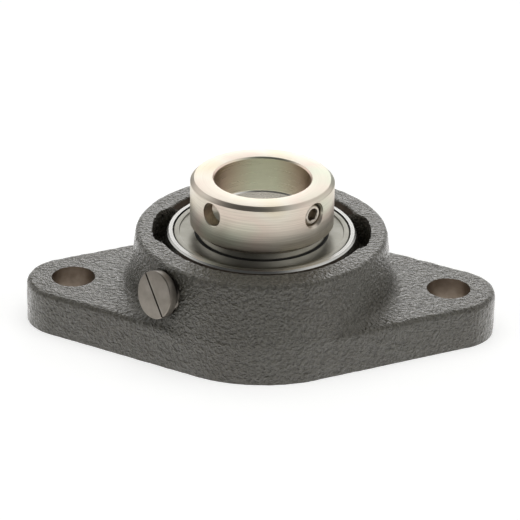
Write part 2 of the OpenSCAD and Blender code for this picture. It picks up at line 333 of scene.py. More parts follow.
def rod(name: str, radius: float, low: float, high: float, steps: int) -> Shape:
    """Turn a plain round rod between two heights on the Z axis, to fill or cut with."""
    return turn(name, [Corner(0, low), Corner(radius, low), Corner(radius, high), Corner(0, high)], steps)


def stations(first: float, last: float, step: float) -> list[float]:
    """Places of the close rings that a thread is run on, from the first to short of the last."""
    return [first + step * i for i in range(int((last - first) / step))]


def close_seams(shape: Shape) -> None:
    """Merge a shape's doubled points and point its faces outwards.

    Args:
        shape: the shape to close.
    """
    choose(shape)
    bpy.ops.object.mode_set(mode="EDIT")
    bpy.ops.mesh.select_all(action="SELECT")
    bpy.ops.mesh.remove_doubles(threshold=0.0002 * MM)
    bpy.ops.mesh.normals_make_consistent(inside=False)
    bpy.ops.object.mode_set(mode="OBJECT")


def run_thread(shape: Shape, pitch: float, depth: float, low: float, high: float) -> None:
    """Run a vee thread round a turned shape that still stands on the Z axis.

    Args:
        shape: a shape with rings close enough to follow the pitch.
        pitch: rise of one turn.
        depth: how far the flanks go in, or out where it is negative.
        low: height at which the thread starts.
        high: height at which it has run out.
    """
    for vertex in shape.data.vertices:
        x, y, z = vertex.co / MM
        radius = math.hypot(x, y)
        if radius < abs(depth) or not low <= z <= high:
            continue
        fade = min(1.0, (z - low) / pitch, (high - z) / pitch)
        phase = (z / pitch - math.atan2(y, x) / math.tau) % 1.0
        scale = 1.0 - depth * fade * abs(2.0 * phase - 1.0) / radius
        vertex.co.x *= scale
        vertex.co.y *= scale


def block(low: Sequence[float], high: Sequence[float]) -> Shape:
    """A plain block to cut with, between two corners.

    Args:
        low: lowest corner.
        high: highest corner.

    Returns:
        The block.
    """
    middle = [(a + b) / 2 * MM for a, b in zip(low, high)]
    choose()
    bpy.ops.mesh.primitive_cube_add(size=1.0, location=middle)
    shape = bpy.context.object
    shape.scale = [(b - a) * MM for a, b in zip(low, high)]
    bpy.ops.object.transform_apply(location=True, rotation=True, scale=True)
    return shape


def cut(shape: Shape, tool: Shape, finish: "Finish") -> None:
    """Cut a tool's volume out of a shape and use the tool up.

    Args:
        shape: the shape that is cut.
        tool: the closed shape to cut with.
        finish: what the cut faces look like.
    """
    tool.data.materials.clear()
    tool.data.materials.append(finish.material())
    modify(shape, "BOOLEAN", operation="DIFFERENCE", object=tool, solver="MANIFOLD",
           material_mode="TRANSFER")
    bpy.data.objects.remove(tool)


def smooth(shape: Shape, angle: float = 32.0) -> None:
    """Shade a shape smooth except across edges sharper than the angle."""
    choose(shape)
    bpy.ops.object.shade_smooth_by_angle(angle=math.radians(angle))


def hand_over(shape: Shape, body: str, slot: str, *nodes: str) -> None:
    """Give a finished piece to the body it moves with.

    Args:
        shape: the finished piece.
        body: name of the body.
        slot: material slot of the record.
        nodes: solids that the piece stands for.
    """
    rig.ride(shape, body)
    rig.slot(shape, slot)
    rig.replaces(shape, *nodes)
    log.info("%s rides on %s, %d faces", shape.name, body, len(shape.data.polygons))


# Finishes


def linear(colour: str) -> tuple[float, float, float, float]:
    """Turn an sRGB hex colour to linear RGBA.

    Args:
        colour: six hex digits after a hash sign.

    Returns:
        Red, green, blue and a full alpha.
    """
    parts = [int(colour[i:i + 2], 16) / 255 for i in (1, 3, 5)]
    red, green, blue = [p / 12.92 if p <= 0.04045 else ((p + 0.055) / 1.055) ** 2.4 for p in parts]
    return red, green, blue, 1.0


def per(size: float) -> float:
    """Texture scale whose features are about this many millimetres across."""
    return 1.0 / (size * MM)


def feed(tree: Tree, node: Node, inputs: Mapping[str | int, Any]) -> None:
    """Set a node's inputs.

    Args:
        tree: the tree that holds the node.
        node: the node.
        inputs: input sockets to a value, or to the output socket that feeds them.
    """
    for key, value in inputs.items():
        if isinstance(value, Socket):
            tree.links.new(value, node.inputs[key])
        else:
            node.inputs[key].default_value = value


def add_node(tree: Tree, kind: str, inputs: Mapping[str | int, Any] | None = None,
             stops: Sequence[tuple[float, str]] = (), **settings: Any) -> bpy.types.NodeOutputs:
    """Add one node to a shader tree.

    Args:
        tree: the tree that gets it.
        kind: the node's type name without its ShaderNode prefix.
        inputs: what its inputs get, as for feed.
        stops: places and hex colours, for a colour ramp.
        settings: the node's other settings.

    Returns:
        The new node's outputs.
    """
    node = tree.nodes.new("ShaderNode" + kind)
    for name, value in settings.items():
        setattr(node, name, value)
    feed(tree, node, inputs or {})
    for i, (spot, colour) in enumerate(stops):
        ramp = node.color_ramp.elements
        stop = ramp[i] if i < 2 else ramp.new(spot)
        stop.position = spot
        stop.color = linear(colour)
    return node.outputs


@dataclass(frozen=True)
class Finish:
    """A real material and how its surface was made.

    Attributes:
        axis: the line that turned or drilled marks run round.
    """

    axis: Axis = SHAFT
    name: ClassVar[str] = "finish"

    def material(self) -> bpy.types.Material:
        """Make this finish's material on first use, and give the same one after that.

        Returns:
            The material.
        """
        made = bpy.data.materials.get(self.name)
        if made is None:
            made = bpy.data.materials.new(self.name)
            made.use_nodes = True
            tree = made.node_tree
            where = add_node(tree, "TexCoord")["Object"]
            self.wire(tree, tree.nodes["Principled BSDF"], where)
        return made

    def wire(self, tree: Tree, shader: Node, where: Socket) -> None:
        """Link this finish's pattern into its shader.

        Args:
            tree: the material's nodes.
            shader: its principled shader.
            where: Object coordinates.
        """
        raise NotImplementedError

    def rings(self, tree: Tree, where: Socket, pitch: float) -> Socket:
        """Fine uneven rings round this finish's axis, as a cutting tool leaves.

        Args:
            tree: the material's nodes.
            where: Object coordinates.
            pitch: width of one ring.

        Returns:
            A value from 0 to 1.
        """
        back = self.axis.matrix.inverted()
        local = add_node(tree, "Mapping", {
            "Vector": where, "Location": back.to_translation(), "Rotation": back.to_euler("XYZ")})[0]
        split = add_node(tree, "SeparateXYZ", {0: local})
        flat = add_node(tree, "CombineXYZ", {0: split[0], 1: split[1]})[0]
        radius = add_node(tree, "VectorMath", {0: flat}, operation="LENGTH")["Value"]
        ring = add_node(tree, "CombineXYZ", {0: radius, 2: split[2]})[0]
        return add_node(tree, "TexNoise", {
            "Vector": ring, "Scale": per(pitch), "Detail": 2.0, "Roughness": 0.7})["Fac"]


@dataclass(frozen=True)
class SandCastIron(Finish):
    """Grey iron cast in sand and oiled: a dark skin under a thin clear film, which mirrors a
    pale room most where it is seen at a slant, so each grain of the sand gets a bright edge."""

    name: ClassVar[str] = "sand_cast_grey_iron"
    grain: float = 0.85
    grit: float = 0.42
    blotch: float = 15.0
    relief: float = 0.78
    grit_relief: float = 0.3

    def wire(self, tree: Tree, shader: Node, where: Socket) -> None:
        """Link grain, grit and blotches into the shader.

        Args:
            tree: the material's nodes.
            shader: its principled shader.
            where: Object coordinates.
        """
        blotch, grain, grit = [
            add_node(tree, "TexNoise", {"Vector": where, "Scale": per(size), "Detail": detail})["Fac"]
            for size, detail in ((self.blotch, 3.0), (self.grain, 2.0), (self.grit, 2.0))]
        black = add_node(tree, "ValToRGB", {0: blotch}, stops=[
            (0.36, "#49453a"), (0.64, "#4f4d43")])[0]
        worn = add_node(tree, "ValToRGB", {0: grain}, stops=[
            (0.32, "#7f7c78"), (0.62, "#ffffff")])[0]
        colour = add_node(tree, "Mix", {0: 0.6, 6: black, 7: worn},
                          data_type="RGBA", blend_type="MULTIPLY")[2]
        dull = add_node(tree, "MapRange", {
            "Value": grain, "From Min": 0.35, "From Max": 0.65, "To Min": 0.5, "To Max": 0.34})[0]
        coarse = add_node(tree, "Bump", {
            "Height": grain, "Strength": 1.0, "Distance": self.relief * MM})[0]
        fine = add_node(tree, "Bump", {
            "Height": grit, "Strength": 1.0, "Distance": self.grit_relief * MM, "Normal": coarse})[0]
        wet = add_node(tree, "MapRange", {
            "Value": grit, "From Min": 0.36, "From Max": 0.54, "To Min": 0.6, "To Max": 1.0})[0]
        feed(tree, shader, {
            "Metallic": 0.2, "Specular Tint": linear("#fff8ef"), "Base Color": colour, "Roughness": dull,
            "Normal": fine, "Coat Weight": wet, "Coat Roughness": 0.1, "Coat Normal": fine})


@dataclass(frozen=True)
class PassivatedSteel(Finish):
    """Turned steel, zinc plated and passivated: a pale warm metal whose clear film drifts
    from straw to pink and green, and in the reamed bore from green to pink at the sides.
    Broken turning lines are drawn at a width that shows, fainter in the bore and on the
    faced end."""

    name: ClassVar[str] = "turned_passivated_steel"
    reamed: float = 12.7
    reamed_edge: float = 0.4
    faced: float = 42.05
    faced_edge: float = 0.1
    line: float = 0.26
    line_length: float = 14.0
    line_slant: float = 0.7
    drift: float = 17.0

    def wire(self, tree: Tree, shader: Node, where: Socket) -> None:
        """Link the film's tints and the turning lines into the shader.

        Args:
            tree: the material's nodes.
            shader: its principled shader.
            where: Object coordinates.
        """
        film = add_node(tree, "TexNoise", {
            "Vector": where, "Scale": per(self.drift), "Detail": 1.0})["Fac"]
        flat = add_node(tree, "VectorMath", {0: where, 1: (1, 1, 0)}, operation="MULTIPLY")[0]
        radius = add_node(tree, "VectorMath", {0: flat}, operation="LENGTH")["Value"]
        split = add_node(tree, "SeparateXYZ", {0: where})
        travel = add_node(tree, "Math", {
            0: radius, 1: self.line_slant, 2: split[2]}, operation="MULTIPLY_ADD")[0]
        round_part = add_node(tree, "CombineXYZ", {0: split[0], 1: split[1], 2: travel})[0]
        along = per(self.line_length)
        stretched = add_node(tree, "Mapping", {
            "Vector": round_part, "Scale": (along, along, per(self.line))})[0]
        line = add_node(tree, "TexNoise", {"Vector": stretched, "Scale": 1.0, "Detail": 2.0})["Fac"]
        tint = add_node(tree, "ValToRGB", {0: film}, stops=[
            (0.30, "#dbcfb5"), (0.70, "#cfd4c1"), (0.45, "#ddd6c8"), (0.57, "#daccbf")])[0]
        tone = add_node(tree, "ValToRGB", {0: line}, stops=[
            (0.30, "#d0ccc6"), (0.62, "#ffffff")])[0]
        outside = add_node(tree, "MapRange", {
            "Value": radius, "From Min": self.reamed * MM,
            "From Max": (self.reamed + self.reamed_edge) * MM})[0]
        turned = add_node(tree, "MapRange", {"Value": outside, "To Min": 0.15, "To Max": 0.55})[0]
        plain = add_node(tree, "MapRange", {
            "Value": split[2], "From Min": (self.faced - self.faced_edge) * MM, "From Max": self.faced * MM,
            "To Min": 1.0, "To Max": 0.35})[0]
        depth = add_node(tree, "Math", {0: turned, 1: plain}, operation="MULTIPLY")[0]
        across = add_node(tree, "Math", {0: split[0]}, operation="ABSOLUTE")[0]
        side = add_node(tree, "MapRange", {"Value": across, "From Max": self.reamed * MM})[0]
        bore = add_node(tree, "ValToRGB", {0: side}, stops=[
            (0.25, "#e4e8cf"), (0.92, "#f0d6c6"), (0.6, "#e6dcc6")])[0]
        film_colour = add_node(tree, "Mix", {0: outside, 6: bore, 7: tint}, data_type="RGBA")[2]
        colour = add_node(tree, "Mix", {0: depth, 6: film_colour, 7: tone},
                          data_type="RGBA", blend_type="MULTIPLY")[2]
        sheen = add_node(tree, "MapRange", {"Value": line, "To Min": 0.2, "To Max": 0.33})[0]
        dull = add_node(tree, "Math", {0: depth, 1: 0.2, 2: sheen}, operation="MULTIPLY_ADD")[0]
        bump = add_node(tree, "Bump", {"Height": line, "Strength": depth, "Distance": 0.01 * MM})[0]
        feed(tree, shader, {"Metallic": 1.0, "Base Color": colour, "Roughness": dull, "Normal": bump})


@dataclass(frozen=True)
class PlainFinish(Finish):
    """A finish whose colour, roughness and relief each follow one pattern.

    Attributes:
        metal: 1 for bare metal and 0 for anything else.
        dark: colour where the pattern is low.
        bright: colour where it is high.
        spread: how far from the pattern's middle these two lie.
        sleek: roughness where the pattern is low.
        dull: roughness where it is high.
        relief: depth of the relief, 0 for none.
        strength: how far the relief tilts the surface.
        cloud: size of cloudy marks.
        swirl: how far cloudy marks are drawn out.
    """

    metal: float = 1.0
    dark: str = "#808080"
    bright: str = "#a0a0a0"
    spread: float = 0.15
    sleek: float = 0.2
    dull: float = 0.5
    relief: float = 0.0
    strength: float = 0.3
    cloud: float = 4.0
    swirl: float = 0.0

    def wire(self, tree: Tree, shader: Node, where: Socket) -> None:
        """Let one cloudy pattern make colour, roughness and relief."""
        cloud = add_node(tree, "TexNoise", {
            "Vector": where, "Scale": per(self.cloud), "Detail": 2.0, "Distortion": self.swirl})["Fac"]
        self.shade(tree, shader, tone=cloud, wear=cloud, height=cloud)

    def shade(self, tree: Tree, shader: Node, tone: Socket, wear: Socket, height: Socket) -> None:
        """Link patterns into the shader.

        Args:
            tree: the material's nodes.
            shader: its principled shader.
            tone: pattern of the colour.
            wear: pattern of the roughness.
            height: pattern of the relief.
        """
        colour = add_node(tree, "ValToRGB", {0: tone}, stops=[
            (0.5 - self.spread, self.dark), (0.5 + self.spread, self.bright)])[0]
        rough = add_node(tree, "MapRange", {"Value": wear, "To Min": self.sleek, "To Max": self.dull})[0]
        feed(tree, shader, {"Metallic": self.metal, "Base Color": colour, "Roughness": rough})
        if self.relief:
            bump = add_node(tree, "Bump", {
                "Height": height, "Strength": self.strength, "Distance": self.relief * MM})[0]
            feed(tree, shader, {"Normal": bump})


@dataclass(frozen=True)
class BoredIron(PlainFinish):
    """Grey iron bared by drill, borer or tap: a dull brown-grey metal with tool marks,
    drawn wider apart than the real 0.1 mm so that they show."""

    name: ClassVar[str] = "bored_grey_iron"
    dark: str = "#8a7e72"
    bright: str = "#aa9e91"
    sleek: float = 0.36
    dull: float = 0.56
    relief: float = 0.04
    strength: float = 0.5
    marks: float = 0.7

    def wire(self, tree: Tree, shader: Node, where: Socket) -> None:
        """Link tool marks and stains into the shader.

        Args:
            tree: the material's nodes.
            shader: its principled shader.
            where: Object coordinates.
        """
        height = add_node(tree, "SeparateXYZ", {0: where})[2]
        line = add_node(tree, "CombineXYZ", {2: height})[0]
        mark = add_node(tree, "TexNoise", {
            "Vector": line, "Scale": per(self.marks), "Detail": 2.0})["Fac"]
        stain = add_node(tree, "TexNoise", {
            "Vector": where, "Scale": per(self.cloud), "Detail": 3.0})["Fac"]
        self.shade(tree, shader, tone=stain, wear=mark, height=mark)


@dataclass(frozen=True)
class PaintedShadeIron(BoredIron):
    """The same bared iron, coloured darker inside the seat and the port as painted shade, where shade falls in these
    hollows.
    """

    name: ClassVar[str] = "bored_iron_painted_shade"
    # Dark colours that paint shade into the seat's mouth and the grease port
    dark: str = "#3a332d"
    bright: str = "#50473f"


@dataclass(frozen=True)
class GroundSteel(PlainFinish):
    """Hardened bearing steel, ground: a cool even metal with close bright rings, drawn
    wider than the real scratches so that they show."""

    name: ClassVar[str] = "ground_bearing_steel"
    dark: str = "#b2b1ad"
    bright: str = "#c6c5c1"
    spread: float = 0.2
    sleek: float = 0.16
    dull: float = 0.3
    relief: float = 0.015
    strength: float = 0.25
    marks: float = 0.4

    def wire(self, tree: Tree, shader: Node, where: Socket) -> None:
        """Link the tool's rings into the shader."""
        mark = self.rings(tree, where, self.marks)
        self.shade(tree, shader, tone=mark, wear=mark, height=mark)


@dataclass(frozen=True)
class PaintedLightSteel(GroundSteel):
    """The same ground steel in a brighter colour: painted light, so that the inner ring's bore looks brighter."""

    name: ClassVar[str] = "ground_steel_painted_light"
    # Brighter colours that paint light into the inner ring and its bore
    dark: str = "#dddbd5"
    bright: str = "#ebe8e2"


@dataclass(frozen=True)
class FacedIron(GroundSteel):
    """Grey iron faced on a lathe: a plain mid-grey metal with rings round the shaft."""

    name: ClassVar[str] = "faced_grey_iron"
    dark: str = "#807c76"
    bright: str = "#96928b"
    marks: float = 0.9


@dataclass(frozen=True)
class ScrewSteel(GroundSteel):
    """Alloy steel, hardened and oiled: a darker warm grey metal, brighter on its rings."""

    axis: Axis = SCREW_HOLE
    name: ClassVar[str] = "oiled_alloy_steel"
    dark: str = "#a39b8f"
    bright: str = "#c4bcaf"
    spread: float = 0.15
    sleek: float = 0.22
    dull: float = 0.36
    relief: float = 0.02
    strength: float = 0.2
    marks: float = 0.35


@dataclass(frozen=True)
class PressedSheet(PlainFinish):
    """Zinc plated steel sheet, pressed: a plain grey metal with faint cloudy crystals and
    the slightly dimpled skin of a pressing."""

    name: ClassVar[str] = "pressed_zinc_plated_sheet"
    dark: str = "#858379"
    bright: str = "#98968d"
    sleek: float = 0.26
    dull: float = 0.42
    relief: float = 0.03
    cloud: float = 5.0
    dimple: float = 1.3

    def wire(self, tree: Tree, shader: Node, where: Socket) -> None:
        """Link clouds and dimples into the shader.

        Args:
            tree: the material's nodes.
            shader: its principled shader.
            where: Object coordinates.
        """
        cloud, dimple = [
            add_node(tree, "TexNoise", {"Vector": where, "Scale": per(size), "Detail": detail})["Fac"]
            for size, detail in ((self.cloud, 3.0), (self.dimple, 2.0))]
        self.shade(tree, shader, tone=cloud, wear=cloud, height=dimple)


@dataclass(frozen=True)
class ZincPlug(PlainFinish):
    """Zinc plated steel, turned and left to dull: a matt grey metal with faint facing
    rings, drawn wider than real so that they show."""

    axis: Axis = GREASE_PORT
    name: ClassVar[str] = "dull_zinc_plated_steel"
    dark: str = "#79736b"
    bright: str = "#8b857d"
    sleek: float = 0.34
    dull: float = 0.5
    relief: float = 0.03
    marks: float = 0.6

    def wire(self, tree: Tree, shader: Node, where: Socket) -> None:
        """Link rings and tarnish into the shader.

        Args:
            tree: the material's nodes.
            shader: its principled shader.
            where: Object coordinates.
        """
        mark = self.rings(tree, where, self.marks)
        tarnish = add_node(tree, "TexNoise", {
            "Vector": where, "Scale": per(self.cloud), "Detail": 3.0})["Fac"]
        self.shade(tree, shader, tone=tarnish, wear=tarnish, height=mark)


@dataclass(frozen=True)
class NitrileRubber(PlainFinish):
    """Moulded nitrile rubber: near black, dull, with a soft fine skin."""

    name: ClassVar[str] = "moulded_nitrile_rubber"
    metal: float = 0.0
    dark: str = "#171718"
    bright: str = "#242423"
    spread: float = 0.2
    sleek: float = 0.5
    dull: float = 0.8
    relief: float = 0.03
    cloud: float = 0.6


@dataclass(frozen=True)
class MouldedPolyamide(PlainFinish):
    """Moulded polyamide: warm ivory with a satin skin and faint cloudy flow marks."""

    name: ClassVar[str] = "moulded_polyamide"
    metal: float = 0.0
    dark: str = "#cfc6a8"
    bright: str = "#ddd6bd"
    sleek: float = 0.38
    dull: float = 0.52
    cloud: float = 3.0
    swirl: float = 1.5
    refraction: float = 1.53

    def wire(self, tree: Tree, shader: Node, where: Socket) -> None:
        """Link the flow marks into the shader, with the plastic's own refraction."""
        super().wire(tree, shader, where)
        feed(tree, shader, {"IOR": self.refraction})


@dataclass(frozen=True)
class LappedSteel(PlainFinish):
    """Lapped ball steel: almost a mirror, under a thin uneven film of grease."""

    name: ClassVar[str] = "lapped_ball_steel"
    dark: str = "#c2c4c6"
    bright: str = "#d4d5d4"
    sleek: float = 0.04
    dull: float = 0.14
    cloud: float = 2.5


class Coat(Enum):
    """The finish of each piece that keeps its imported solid."""

    OUTER_RING = ("outer_ring", GroundSteel())
    # The inner ring takes the ground steel painted brighter, as painted light for its bore
    INNER_RING = ("inner_ring", PaintedLightSteel())
    CAGE = ("ball_cage", MouldedPolyamide())
    FRONT_LIP = ("front_seal_lip", NitrileRubber())
    REAR_LIP = ("rear_seal_lip", NitrileRubber())
    FRONT_BACKING = ("front_seal_backing", PressedSheet())
    REAR_BACKING = ("rear_seal_backing", PressedSheet())


# Sub-assemblies


@dataclass
class Housing:
    """The cast housing: rough sand-cast skin outside, machined base, seat, holes and port."""

    voxel: float = 0.5
    hole_x: float = 49.5
    hole_d: float = 11.5
    flange_t: float = 11.7
    rim_top: float = 27.5
    seat_r: float = 26.08
    seat_band: float = 6.0
    seat_lap: float = 0.05
    mouth_r: float = 26.93
    mouth_flare: float = 0.4
    spare: float = 2.0
    stop_lap: float = 0.4
    drill_run: float = 3.0
    facing: tuple[float, float, float] = (80.0, 50.0, 6.0)
    root_rise: float = 6.0
    root_reach: float = 41.0
    root_inner: float = 12.0
    lump: float = 3.2
    lump_depth: float = 0.22
    grain: float = 0.45
    grain_depth: float = 0.6
    port_s: float = PORT_MOUTH
    thread_s: float = 2.74
    thread_rings: int = 41
    thread_depth: float = 0.45
    shank_r: float = 4.95
    sink_low: float = 0.5
    sink_high: float = 1.3
    sink_r: float = 1.8

    def build(self) -> Shape:
        """Cast the skin, then machine it.

        Returns:
            The finished housing.
        """
        shape = self.cast()
        self.roughen(shape)
        shape.data.materials.clear()
        shape.data.materials.append(SandCastIron().material())
        cut(shape, self.base_tool(), FacedIron())
        for tool in self.hole_tools():
            cut(shape, tool, BoredIron())
        # The port and the seat are cut with bored iron darkened as painted shade
        for tool in (self.port_tool(), self.seat_tool()):
            cut(shape, tool, PaintedShadeIron())
        smooth(shape, 40.0)
        return shape

    def cast(self) -> Shape:
        """Copy the solid, stop its bolt holes and draw it again as one soft-edged skin.

        Returns:
            The skin, with spare depth at the base.
        """
        choose(frame["nodes"]["housing"])
        bpy.ops.object.duplicate()
        shape = bpy.context.object
        bpy.ops.object.parent_clear(type="CLEAR_KEEP_TRANSFORM")
        shape.id_properties_clear()
        shape.name = shape.data.name = "housing_casting"
        close_seams(shape)
        for vertex in shape.data.vertices:
            if vertex.co.z < 0.001 * MM:
                vertex.co.z = -self.spare * MM
        for spot in self.hole_places():
            stop = rod("stop", self.hole_d / 2 + self.stop_lap, -self.spare, self.flange_t, 48)
            choose(place(stop, spot), shape)
            bpy.ops.object.join()
        modify(shape, "REMESH", mode="VOXEL", voxel_size=self.voxel * MM)
        modify(shape, "SMOOTH", factor=0.5, iterations=2)
        self.soften_roots(shape)
        return shape

    def soften_roots(self, shape: Shape) -> None:
        """Draw the skin into a wider hollow where the arms run into the boss.

        Args:
            shape: the skin.
        """
        root = shape.vertex_groups.new(name="arm_roots")
        for vertex in shape.data.vertices:
            x, y, z = vertex.co / MM
            rise = z - self.flange_t
            # Each limit fades in over a few millimetres
            low, high = (rise + 0.4) / 0.8, (self.root_rise - rise) / 2
            inner, outer = (abs(x) - self.root_inner) / 4, (self.root_reach - math.hypot(x, y)) / 2
            weight = min(1.0, low, high, inner, outer)
            if weight > 0:
                root.add([vertex.index], weight, "REPLACE")
        modify(shape, "SMOOTH", factor=0.5, iterations=40, vertex_group=root.name)

    def roughen(self, shape: Shape) -> None:
        """Sink small uneven hollows into the skin, away from the machined seat.

        Args:
            shape: the skin.
        """
        skin = shape.vertex_groups.new(name="sand_skin")
        for vertex in shape.data.vertices:
            x, y, z = vertex.co / MM
            outside = min(1.0, max(0.0, (math.hypot(x, y) - self.mouth_r) / 2.0))
            skin.add([vertex.index], outside if z > self.flange_t else 1.0, "REPLACE")
        for name, size, depth in (("lumps", self.lump, self.lump_depth),
                                  ("grains", self.lump * self.grain, self.lump_depth * self.grain_depth)):
            texture = bpy.data.textures.new("sand_" + name, "CLOUDS")
            texture.noise_scale = size * MM
            texture.noise_depth = 1
            modify(shape, "DISPLACE", texture=texture, texture_coords="LOCAL", mid_level=0.0,
                   strength=-depth * MM, vertex_group=skin.name)

    def hole_places(self) -> list[Matrix]:
        """Where the left and the right bolt hole stand."""
        return [Matrix.Translation((side * self.hole_x * MM, 0, 0)) for side in (-1, 1)]

    def base_tool(self) -> Shape:
        """The block that the facing cut takes off below the base."""
        x, y, z = self.facing
        return block((-x, -y, -z), (x, y, 0))

    def hole_tools(self) -> list[Shape]:
        """The drill at each bolt hole."""
        top = self.flange_t + self.drill_run
        return [place(rod("drill", self.hole_d / 2, -OVERRUN, top, 128), spot)
                for spot in self.hole_places()]

    def seat_tool(self) -> Shape:
        """Make the borer that shapes the spherical seat and its mouth.

        Returns:
            The borer.
        """
        top = self.rim_top + OVERRUN
        swing = math.degrees(math.asin((self.seat_band + self.seat_lap) / self.seat_r))
        seat = arc(0, BEARING_CENTRE, self.seat_r, -swing, swing, 16)
        mouth = [Corner(self.mouth_r, self.rim_top), Corner(self.mouth_r + self.mouth_flare, top)]
        return turn("borer", [Corner(0, seat[0].z), *seat, *mouth, Corner(0, top)], 256)

    def port_tool(self) -> Shape:
        """Make the tap and countersink that cut the grease port.

        Returns:
            The tap.
        """
        top = self.port_s + self.sink_high
        turns = [self.thread_s + TAP_RING * i for i in range(self.thread_rings)]
        wall = [Corner(self.shank_r + (s - self.port_s) / PORT_NARROWING, s) for s in turns]
        mouth = [Corner(self.shank_r, self.port_s - self.sink_low),
                 Corner(self.shank_r + self.sink_r, top)]
        tap = turn("tap", [Corner(0, self.thread_s), *wall, *mouth, Corner(0, top)], 96)
        run_thread(tap, PORT_PITCH, -self.thread_depth, self.thread_s, turns[-1])
        return place(tap, GREASE_PORT.matrix)

    def dress(self, shape: Shape) -> None:
        """Give the housing to its body."""
        hand_over(shape, "housing", "cast_iron", "housing")


@dataclass
class GreasePlug:
    """The slotted taper plug of the grease port, turned on the port's axis."""

    tip_s: float = 3.31
    tip_bevel: float = 0.75
    tip_length: float = 0.6
    port_s: float = PORT_MOUTH
    head_s: float = 9.11
    top_s: float = 11.41
    shank_r: float = 4.85
    neck_r: float = 4.25
    neck_run: float = 0.2
    head_r: float = 6.2
    head_bevel: float = 0.2
    slot: float = 0.5
    slot_turn: float = 43.0
    saw_r: float = 9.0
    thread_depth: float = 0.5

    def build(self) -> Shape:
        """Turn the plug, thread its shank and saw its slot.

        Returns:
            The finished plug.
        """
        first = self.tip_s + self.tip_length
        turns = stations(first, self.port_s, SCREW_RING)
        shank = [Corner(self.shank_r + (s - self.port_s) / PORT_NARROWING, s) for s in turns]
        plug = turn("grease_plug", [
            Corner(0, self.tip_s), Corner(self.shank_r - self.tip_bevel, self.tip_s), *shank,
            Corner(self.neck_r, self.port_s + self.neck_run), Corner(self.neck_r, self.head_s),
            Corner(self.head_r, self.head_s, 0.2),
            Corner(self.head_r, self.top_s - self.head_bevel, 0.08),
            Corner(self.head_r - self.head_bevel, self.top_s, 0.1), Corner(0, self.top_s)], 128)
        run_thread(plug, PORT_PITCH, self.thread_depth, first, turns[-1])
        plug.data.materials.append(ZincPlug().material())
        saw = block((-self.saw_r, -self.slot / 2, (self.head_s + self.top_s) / 2),
                    (self.saw_r, self.slot / 2, self.top_s + 2 * OVERRUN))
        cut(plug, place(saw, Matrix.Rotation(math.radians(self.slot_turn), 4, "Z")), ZincPlug())
        smooth(place(plug, GREASE_PORT.matrix))
        return plug

    def dress(self, shape: Shape) -> None:
        """Give the plug to its body."""
        hand_over(shape, "plug", "zinc_plug", "lubrication_plug")


@dataclass
class SealWashers:
    """The pressed washers that close both faces of the insert."""

    face: float = 27.1
    inner_r: float = 17.53
    rim_in_r: float = 21.47
    rim_out_r: float = 22.92
    foot_r: float = 23.38
    sheet: float = 0.5
    rim_top: float = 0.15
    plate_top: float = 0.55
    depth: float = 2.6

    def build(self) -> tuple[Shape, Shape]:
        """Press one washer and mirror it to the rear face.

        Returns:
            The front and the rear washer.
        """
        rim_under = self.rim_top + self.sheet
        plate_under = self.plate_top + self.sheet
        skirt_r = self.rim_out_r - self.sheet
        wall_r = self.rim_in_r + self.sheet
        profile = [
            (self.inner_r, self.plate_top, 0.12), (self.rim_in_r, self.plate_top, 0.15),
            (self.rim_in_r, self.rim_top, 0.2), (self.rim_out_r, self.rim_top, 0.3),
            (self.rim_out_r, self.depth - self.sheet, 0.15), (self.foot_r, self.depth - self.sheet, 0.1),
            (self.foot_r, self.depth, 0.1), (skirt_r, self.depth, 0.1), (skirt_r, rim_under, 0.1),
            (wall_r, rim_under, 0.1), (wall_r, plate_under, 0.1), (self.inner_r, plate_under, 0.12)]
        outline = [Corner(r, self.face - down, soft) for r, down, soft in profile]
        front = turn("front_seal_plate", outline, 256)
        front.data.materials.append(PressedSheet().material())
        smooth(front)
        choose(front)
        bpy.ops.object.duplicate()
        rear = bpy.context.object
        rear.name = rear.data.name = "rear_seal_plate"
        flip = Matrix.Translation((0, 0, 2 * BEARING_CENTRE * MM)) @ Matrix.Scale(-1, 4, (0, 0, 1))
        close_seams(place(rear, flip))
        return front, rear

    def dress(self, shapes: tuple[Shape, Shape]) -> None:
        """Give both washers to the insert's outer body."""
        for shape, node in zip(shapes, ("front_seal_washer", "rear_seal_washer")):
            hand_over(shape, "insert_outer", "seal_sheet", node)


